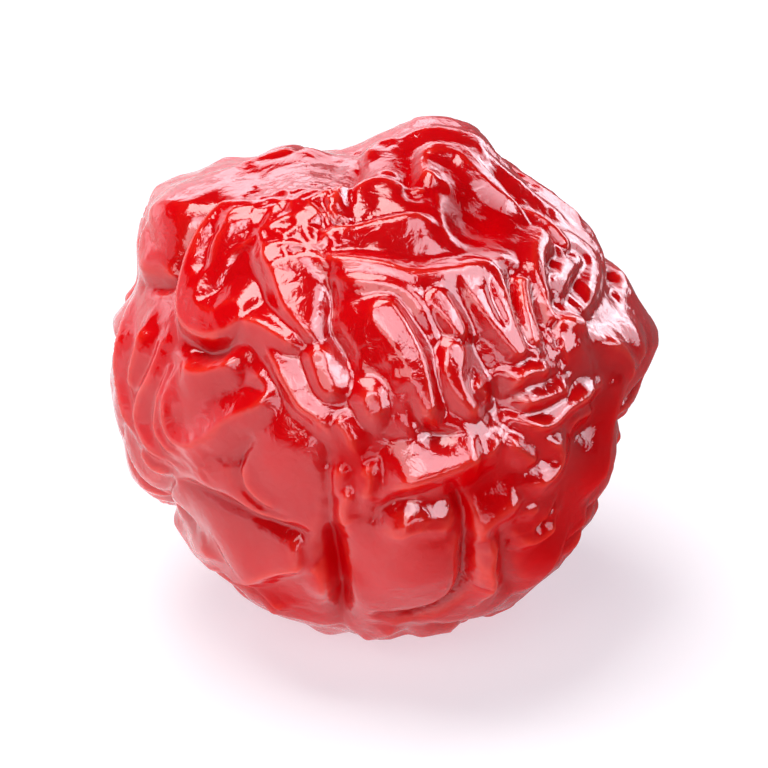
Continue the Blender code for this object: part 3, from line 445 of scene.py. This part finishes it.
# scattered folds: seeded starts clear of the runs taken, each stepping on with a slowly turning heading
def scatteredFolds(look, taken):
    rng = np.random.default_rng(look["seed"])
    folds = []
    clear = np.cos(look["spacing"] / body["radius"])
    stride = wanderLook["step"] / body["radius"]
    for _ in range(look["tries"]):
        if len(folds) == look["count"]:
            break
        spot = unit(rng.normal(size=3))
        if spot @ towardWay > look["startFacing"] or (taken @ spot > clear).any():
            continue
        heading = unit(np.cross(spot, wanderLook["tiltAxis"]))
        swing = sineField(spot[None], wanderLook["turnWaves"], look["seed"] + 1)[0]
        turn = wanderLook["turnSwing"] * swing + wanderLook["turnSpread"] * rng.normal()
        bend = wanderLook["bendStart"] * rng.normal()
        run = [spot]
        for _ in range(int(rng.uniform(*look["length"]) / wanderLook["step"])):
            heading = heading * np.cos(turn) + np.cross(spot, heading) * np.sin(turn)
            spot = unit(spot + heading * stride)
            heading = unit(heading - (heading @ spot) * spot)
            bend = wanderLook["bendKept"] * bend + wanderLook["bendSpread"] * rng.normal()
            turn = bend
            run.append(spot)
        run = np.array(run)
        if len(run) < wanderLook["leastPoints"] or (run @ towardWay).max() > look["endFacing"]:
            continue
        taken = np.vstack([taken, run])
        left, right = rng.uniform(*look["reach"], 2)
        topStart, topEnd = np.maximum(rng.uniform(*look["top"], 2), 0.0)
        folds.append((rng.uniform(*look["height"]), left, right, topStart, topEnd, smoothRun(run)))
    return folds, taken


# crumple: height * exp(-border / width), border being second nearest less nearest of scattered points
def crumpleHeight(ways, look):
    rng = np.random.default_rng(look["seed"])
    count = np.arange(look["cells"]) + 0.5
    tilt = np.arccos(1.0 - 2.0 * count / look["cells"])
    turn = np.pi * (1.0 + 5.0 ** 0.5) * count
    seeds = np.stack([np.cos(turn) * np.sin(tilt), np.sin(turn) * np.sin(tilt), np.cos(tilt)], -1)
    seeds = unit(seeds + rng.normal(size=seeds.shape) * crumpleLook["scatter"] / np.sqrt(look["cells"]))
    bent = wander(ways, look["bend"], look["bendWaves"], look["seed"] + crumpleLook["seedStep"])
    border = np.empty(len(ways))
    for k in range(0, len(ways), crumpleLook["batch"]):
        some = slice(k, k + crumpleLook["batch"])
        gap = np.sqrt(np.maximum(0.0, 2.0 - 2.0 * bent[some] @ seeds.T))
        nearest = np.partition(gap, 1, axis=1)
        border[some] = nearest[:, 1] - nearest[:, 0]
    return look["height"] * np.exp(-border * body["radius"] / look["width"])


# ways of six square grids: (1, tan a, tan b) over its length, a and b from -45 to 45 degrees, with the grids
# merged along their edges
def cubeBall(steps):
    t = np.tan(np.linspace(-1.0, 1.0, steps + 1) * np.pi / 4.0)
    a, b = np.meshgrid(t, t, indexing="ij")
    one = np.ones_like(a)
    sides = [(one, a, b), (-one, -a, b), (-a, one, b), (a, -one, b), (-b, a, one), (b, a, -one)]
    ways = unit(np.stack([np.stack(side, -1) for side in sides])).reshape(-1, 3)
    ids = np.arange(len(ways)).reshape(6, steps + 1, steps + 1)
    corners = [ids[:, :-1, :-1], ids[:, 1:, :-1], ids[:, 1:, 1:], ids[:, :-1, 1:]]
    quads = np.stack(corners, -1).reshape(-1, 4)
    _, first, back = np.unique(np.round(ways, body["mergeDigits"]), axis=0,
                               return_index=True, return_inverse=True)
    return ways[first], back.reshape(-1)[quads]


# point = way * (body radius + folds - creases + swells + knots + crumple + unevenness - sink), pressed flat
# at the floor
def fruitSurface(ways):
    spread, least, lift = foldLook["spread"], foldLook["leastReach"], foldLook["lift"]
    folds = [(lift * height, max(spread * left, least), max(spread * right, least), 0.0, 0.0,
              smoothRun(fromDrawing(run)))
             for group in drawnFolds.values() for height, left, right, run in group]
    folds += [(*values, smoothRun(fromDrawing(run))) for *values, run in drawnPlateaus]
    creases = [(depth, left, right, smoothRun(fromDrawing(run)))
               for depth, left, right, run in drawnCreases]
    drawn = wander(ways, foldLook["drift"], foldLook["driftWaves"], foldLook["driftSeed"])
    facing = ways @ towardWay
    rim = np.exp(-(facing / foldLook["rimBand"]) ** 2)
    calm = 1.0 - foldLook["rimCalm"] * rim
    onBack, taken = scatteredFolds(backLook, np.zeros((0, 3)))
    onSides, _ = scatteredFolds(sideLook, np.vstack([taken] + [fold[-1] for fold in folds]))
    onAll, _ = scatteredFolds(creaseLook, np.vstack([crease[-1] for crease in creases]))
    creases += [(height, left, right, run) for height, left, right, _, _, run in onAll]
    print("scattered: folds", len(onBack), "and", len(onSides), "creases", len(onAll))
    relief = foldHeight(drawn, folds + onBack + onSides) * calm
    relief -= creaseDepth(drawn, creases) * (1.0 - foldLook["creaseCalm"] + foldLook["creaseCalm"] * calm)
    relief += swellHeight(ways) + knotHeight(ways) * calm
    front = ease((facing - crumpleLook["frontStart"]) / crumpleLook["frontSpan"])
    nearRim = np.exp(-((facing - crumpleLook["rimFacing"]) / crumpleLook["rimBand"]) ** 2)
    loose = (1.0 - tautness(ways)) * (1.0 - crumpleLook["rimCalm"] * nearRim)
    for look in crumples:
        relief += crumpleHeight(ways, look) * loose * (1.0 - (1.0 - look["onFront"]) * front)
    relief += body["swellHeight"] * sineField(ways, body["swellWaves"], body["swellSeed"]) * (1.0 - rim)
    relief -= body["skinSink"] + (body["rimSink"] - body["skinSink"]) * rim
    relief *= ease((ways[:, 2] - foldLook["calmStart"]) / foldLook["calmSpan"])
    base = bodyRadius(np.arctan2(ways @ upWay, ways @ rightWay), facing)
    points = ways * (base + relief)[:, None]
    points[:, 2] = np.maximum(points[:, 2] + body["floorDrop"], 0.0)
    return points, relief


# how far each corner stands over its neighbours' mean, taken a few times over, with crestFull as 1
def crestSharpness(points, quads):
    edges = np.vstack([quads[:, [k, (k + 1) % 4]] for k in range(4)])
    count = np.bincount(edges.ravel(), minlength=len(points))
    outward = unit(points - np.array([0.0, 0.0, body["floorDrop"]]))
    smooth = points.copy()
    for _ in range(foldLook["crestRounds"]):
        sums = [np.bincount(edges[:, 0], smooth[edges[:, 1], k], len(points))
                + np.bincount(edges[:, 1], smooth[edges[:, 0], k], len(points)) for k in range(3)]
        smooth = np.stack(sums, -1) / count[:, None]
    return np.clip(((points - smooth) * outward).sum(-1) / foldLook["crestFull"], -1.0, 1.0)


# a smooth-shaded mesh of these corners and faces, put in the scene
def addMesh(name, points, faces):
    mesh = bpy.data.meshes.new(name)
    mesh.from_pydata(points.tolist(), [], faces.tolist())
    mesh.shade_smooth()
    piece = bpy.data.objects.new(name, mesh)
    bpy.context.scene.collection.objects.link(piece)
    return piece


# one number for each corner, which the material reads by its name
def addAttribute(piece, name, values):
    layer = piece.data.attributes.new(name, "FLOAT", "POINT")
    layer.data.foreach_set("value", np.asarray(values, dtype=np.float32))


ways, quads = cubeBall(body["gridSteps"])
points, relief = fruitSurface(ways)
crest = crestSharpness(points, quads)
low, high = (np.array(corner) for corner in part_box("cherry"))
points *= millimetre
points[:, :2] += (low + high)[:2] / 2.0 - (points[:, :2].min(axis=0) + points[:, :2].max(axis=0)) / 2.0
points[:, 2] += low[2]
cherry = addMesh("dressedCherry", points, quads)
# the relief also drives the painted shade in the hollows
addAttribute(cherry, "relief", relief)
# the crest measure drives the painted glow along sharp crests
addAttribute(cherry, "crest", crest)
addAttribute(cherry, "glaze", glazeShare(ways))
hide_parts("cherry")
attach(cherry, "root")
print("cherry made with", 2 * len(quads), "triangles")

skinLook = {
    "deep": (0.54, 0.0, 0.002, 1.0),        # a deeper tone in random clouds, and painted shade in the hollows
    "plain": (0.67, 0.0, 0.002, 1.0),
    "thin": (0.82, 0.035, 0.018, 1.0),      # painted glow of light through the skin along sharp crests
    "hollowShadeRelief": (0.15, -0.75),          # relief in mm over which painted shade darkens the skin in the hollows
    "cloudScale": 260.0, "cloudDetail": 3.0, "cloudRange": (0.40, 0.75), "cloudShare": 0.45,
    "crestRange": (0.15, 1.0), "thinShare": 0.85,
    "smearScale": 700.0, "smearDetail": 4.0, "smearRange": (0.35, 0.70),
    "roughness": (0.12, 0.28),
    "coat": (0.25, 1.0),                    # on a dry patch, and under a full glaze
    "creaseRelief": (-1.05, -0.60), "creaseCoat": 0.25,
    "coatIor": 1.65, "coatRoughness": 0.10,
    "ior": 1.45,
    "subsurface": 0.30,
    "scatter": (1.0, 0.10, 0.05),
    "scatterDepth": 0.0020,
    "crinkleScale": 1500.0, "crinkleDetail": 3.0, "crinkleTwist": 0.8,
    "rippleScale": 480.0, "rippleDetail": 1.0,
    "rippleShare": 3.0,                     # height of the ripples next to the crinkles
    "bumpDepth": 0.00004,
}


def newMaterial(name):
    material = bpy.data.materials.new(name)
    material.use_nodes = True
    return material, material.node_tree, material.node_tree.nodes["Principled BSDF"]


def addNode(tree, kind, values=None, **settings):
    node = tree.nodes.new(kind)
    for key, value in settings.items():
        setattr(node, key, value)
    for key, value in (values or {}).items():
        node.inputs[key].default_value = value
    return node


# low to high of the source becomes outLow to outHigh
def addRange(tree, source, low, high, outLow, outHigh):
    values = {"From Min": low, "From Max": high, "To Min": outLow, "To Max": outHigh}
    node = addNode(tree, "ShaderNodeMapRange", values)
    tree.links.new(source, node.inputs["Value"])
    return node.outputs["Result"]


# clouds of detail at a scale per metre, on the object's own coordinates
def addNoise(tree, scale, detail, distortion=0.0):
    node = addNode(tree, "ShaderNodeTexNoise", {"Scale": scale, "Detail": detail, "Distortion": distortion})
    place = addNode(tree, "ShaderNodeTexCoord").outputs["Object"]
    tree.links.new(place, node.inputs["Vector"])
    return node.outputs["Fac"]


def addAttributeNode(tree, name):
    return addNode(tree, "ShaderNodeAttribute", attribute_name=name).outputs["Fac"]


# first and second mixed by share; the colour sockets of a Mix node are its inputs 6 and 7 and its output 2
def addMix(tree, share, first, second):
    node = addNode(tree, "ShaderNodeMix", data_type="RGBA")
    tree.links.new(share, node.inputs["Factor"])
    for value, place in ((first, 6), (second, 7)):
        if isinstance(value, tuple):
            node.inputs[place].default_value = value
        else:
            tree.links.new(value, node.inputs[place])
    return node.outputs[2]


# first * second, plus third where it is given; each is a socket or a number
def addProduct(tree, first, second, third=None):
    node = addNode(tree, "ShaderNodeMath", operation="MULTIPLY" if third is None else "MULTIPLY_ADD")
    for index, value in enumerate((first, second, third)):
        if isinstance(value, float):
            node.inputs[index].default_value = value
        elif value is not None:
            tree.links.new(value, node.inputs[index])
    return node.outputs[0]


def candiedSkin(look):
    material, tree, shader = newMaterial("candiedSkin")
    links, sockets = tree.links, shader.inputs
    relief, crest, glaze = (addAttributeNode(tree, name) for name in ("relief", "crest", "glaze"))
    # colour: a deeper tone in random clouds, painted shade in the hollows, and a painted glow along sharp
    # crests
    # painted shade: the skin turns to the deep tone where the relief sinks into a hollow
    hollowShade = addRange(tree, relief, *look["hollowShadeRelief"], 0.0, 1.0)
    clouds = addNoise(tree, look["cloudScale"], look["cloudDetail"])
    cloud = addRange(tree, clouds, *look["cloudRange"], 0.0, look["cloudShare"])
    clouded = addMix(tree, cloud, look["plain"], look["deep"])
    hollowShaded = addMix(tree, hollowShade, clouded, look["deep"])
    # painted glow: sharp crests are lightened towards an orange red
    thin = addRange(tree, crest, *look["crestRange"], 0.0, look["thinShare"])
    links.new(addMix(tree, thin, hollowShaded, look["thin"]), sockets["Base Color"])
    # roughness: smeared unevenly
    smear = addNoise(tree, look["smearScale"], look["smearDetail"])
    links.new(addRange(tree, smear, *look["smearRange"], *look["roughness"]), sockets["Roughness"])
    # fine crinkles of the skin, and the syrup's uneven surface
    crinkle = addNoise(tree, look["crinkleScale"], look["crinkleDetail"], look["crinkleTwist"])
    ripple = addNoise(tree, look["rippleScale"], look["rippleDetail"])
    bump = addNode(tree, "ShaderNodeBump", {"Strength": 1.0, "Distance": look["bumpDepth"]})
    links.new(addProduct(tree, ripple, look["rippleShare"], crinkle), bump.inputs["Height"])
    links.new(bump.outputs["Normal"], sockets["Normal"])
    links.new(bump.outputs["Normal"], sockets["Coat Normal"])
    # syrup coat: thinner on the dry patches and down in the creases
    glazed = addRange(tree, glaze, 0.0, 1.0, *look["coat"])
    creased = addRange(tree, relief, *look["creaseRelief"], look["creaseCoat"], 1.0)
    links.new(addProduct(tree, glazed, creased), sockets["Coat Weight"])
    sockets["Coat IOR"].default_value = look["coatIor"]
    sockets["Coat Roughness"].default_value = look["coatRoughness"]
    # the skin under the coat scatters light and has no gloss of its own
    sockets["Specular IOR Level"].default_value = 0.0
    sockets["IOR"].default_value = look["ior"]
    sockets["Subsurface Weight"].default_value = look["subsurface"]
    sockets["Subsurface Radius"].default_value = look["scatter"]
    sockets["Subsurface Scale"].default_value = look["scatterDepth"]
    return material


cherry.data.materials.append(candiedSkin(skinLook))
print("skin finished")

studio = {
    "floorRadius": 0.60, "floorCorners": 96, "floorColour": (0.50, 0.50, 0.50, 1.0),
    "floorRoughness": 0.7, "floorGloss": 0.1, "floorGlow": 0.62,
    "glowColour": (0.94, 0.92, 1.0, 1.0),
    # the dark side of the floor in reflections: share, from where to where it sets in, colour
    "shade": 0.85, "shadeSpan": (-0.002, 0.012), "shadeColour": (0.10, 0.02, 0.02, 1.0),
    # the bright horizon fades between these heights, and between these ways from left to right
    "horizon": 1.0, "ceiling": 0.03, "horizonSpan": (0.0, 0.20), "leftSpan": (-0.3, 0.6),
    "lightAim": (0.0, 0.0, 0.01),
    # each soft light: place, width, height, brightness
    "lights": [
        ((-0.12, 0.08, 0.50), 0.36, 0.32, 8.0),
        ((-0.16, -0.38, 0.34), 0.30, 0.30, 3.4),
    ],
    # each bright panel, seen only as a reflection: place, width, height, brightness
    "panels": [
        ((0.37, -0.12, 0.235), 0.34, 0.38, 7.0),
        ((0.03, -0.46, 0.16), 0.34, 0.13, 3.4),
        ((0.25, -0.05, 0.38), 0.20, 0.22, 6.0),
        ((-0.05, -0.25, 0.40), 0.40, 0.20, 6.5),
        ((-0.24, 0.42, 0.12), 0.60, 0.22, 0.9),
        ((0.08, 0.42, 0.17), 0.56, 0.14, 3.0),
        ((0.36, 0.24, 0.12), 0.30, 0.16, 3.4),
        ((0.26, 0.38, 0.10), 0.24, 0.16, 3.4),
        ((-0.46, 0.04, 0.10), 0.70, 0.22, 0.7),
    ],
    "lightColour": (1.0, 0.97, 0.97),
    "panelColour": (0.95, 0.90, 1.0),
}


# disc: a row of corners at radius * (cos, sin) of equal angles, closed by one face
def addFloor(look):
    angle = np.linspace(0.0, 2.0 * np.pi, look["floorCorners"], endpoint=False)
    rim = np.stack([np.cos(angle), np.sin(angle), np.zeros_like(angle)], -1) * look["floorRadius"]
    floor = addMesh("floor", rim, np.arange(len(rim))[None])
    material, tree, shader = newMaterial("paleFloor")
    shader.inputs["Base Color"].default_value = look["floorColour"]
    shader.inputs["Roughness"].default_value = look["floorRoughness"]
    shader.inputs["Specular IOR Level"].default_value = look["floorGloss"]
    shader.inputs["Emission Color"].default_value = look["glowColour"]
    shader.inputs["Emission Strength"].default_value = look["floorGlow"]
    # reflections see the floor darken to the right, as if a dark card stood there
    place = addNode(tree, "ShaderNodeSeparateXYZ")
    tree.links.new(addNode(tree, "ShaderNodeTexCoord").outputs["Object"], place.inputs[0])
    rightward = addRange(tree, place.outputs["X"], *look["shadeSpan"], 0.0, look["shade"])
    reflected = addNode(tree, "ShaderNodeLightPath").outputs["Is Glossy Ray"]
    dark = addNode(tree, "ShaderNodeEmission", {"Color": look["shadeColour"], "Strength": 1.0})
    both = addNode(tree, "ShaderNodeMixShader")
    tree.links.new(addProduct(tree, reflected, rightward), both.inputs[0])
    tree.links.new(shader.outputs[0], both.inputs[1])
    tree.links.new(dark.outputs[0], both.inputs[2])
    tree.links.new(both.outputs[0], tree.nodes["Material Output"].inputs["Surface"])
    floor.data.materials.append(material)


# brightness = fading upwards * fading to the right + ceiling
def addWorld(look):
    world = bpy.data.worlds.new("studio")
    bpy.context.scene.world = world
    world.use_nodes = True
    tree = world.node_tree
    way = addNode(tree, "ShaderNodeTexCoord")
    parts = addNode(tree, "ShaderNodeSeparateXYZ")
    tree.links.new(way.outputs["Generated"], parts.inputs[0])
    rising = addRange(tree, parts.outputs["Z"], *look["horizonSpan"], 1.0, 0.0)
    leftward = addRange(tree, parts.outputs["X"], *look["leftSpan"], look["horizon"], look["ceiling"])
    background = tree.nodes["Background"].inputs
    tree.links.new(addProduct(tree, rising, leftward, look["ceiling"]), background["Strength"])
    background["Color"].default_value = look["glowColour"]


# flat light turned to lightAim, of power brightness * pi * width * height
def addLight(name, place, width, height, brightness, colour):
    light = bpy.data.lights.new(name, "AREA")
    light.shape = "RECTANGLE"
    light.size, light.size_y = width, height
    light.energy = brightness * np.pi * width * height
    light.color = colour
    lamp = bpy.data.objects.new(name, light)
    lamp.location = place
    lamp.rotation_euler = (Vector(place) - Vector(studio["lightAim"])).to_track_quat("Z", "Y").to_euler()
    bpy.context.scene.collection.objects.link(lamp)
    return lamp


addFloor(studio)
addWorld(studio)
for index, light in enumerate(studio["lights"]):
    addLight("softLight%d" % index, *light, studio["lightColour"])
for index, panel in enumerate(studio["panels"]):
    addLight("panel%d" % index, *panel, studio["panelColour"]).visible_diffuse = False
bpy.context.scene.view_settings.view_transform = "Standard"
print("studio lit")

# the photo's view: focal length = sensor width * distance / width of the field
view = {"distance": 0.60, "fieldWidth": 0.0315, "aimUp": 0.0098, "sensor": 36.0, "clip": (0.05, 5.0)}
camera = bpy.data.cameras.new("camera")
camera.sensor_width = view["sensor"]
camera.lens = view["sensor"] * view["distance"] / view["fieldWidth"]
camera.clip_start, camera.clip_end = view["clip"]
eye = bpy.data.objects.new("camera", camera)
aim = Vector((0.0, 0.0, view["aimUp"]))
eye.location = aim + Vector(towardWay) * view["distance"]
eye.rotation_euler = Vector(towardWay).to_track_quat("Z", "Y").to_euler()
bpy.context.scene.collection.objects.link(eye)
bpy.context.scene.camera = eye
print("camera placed")
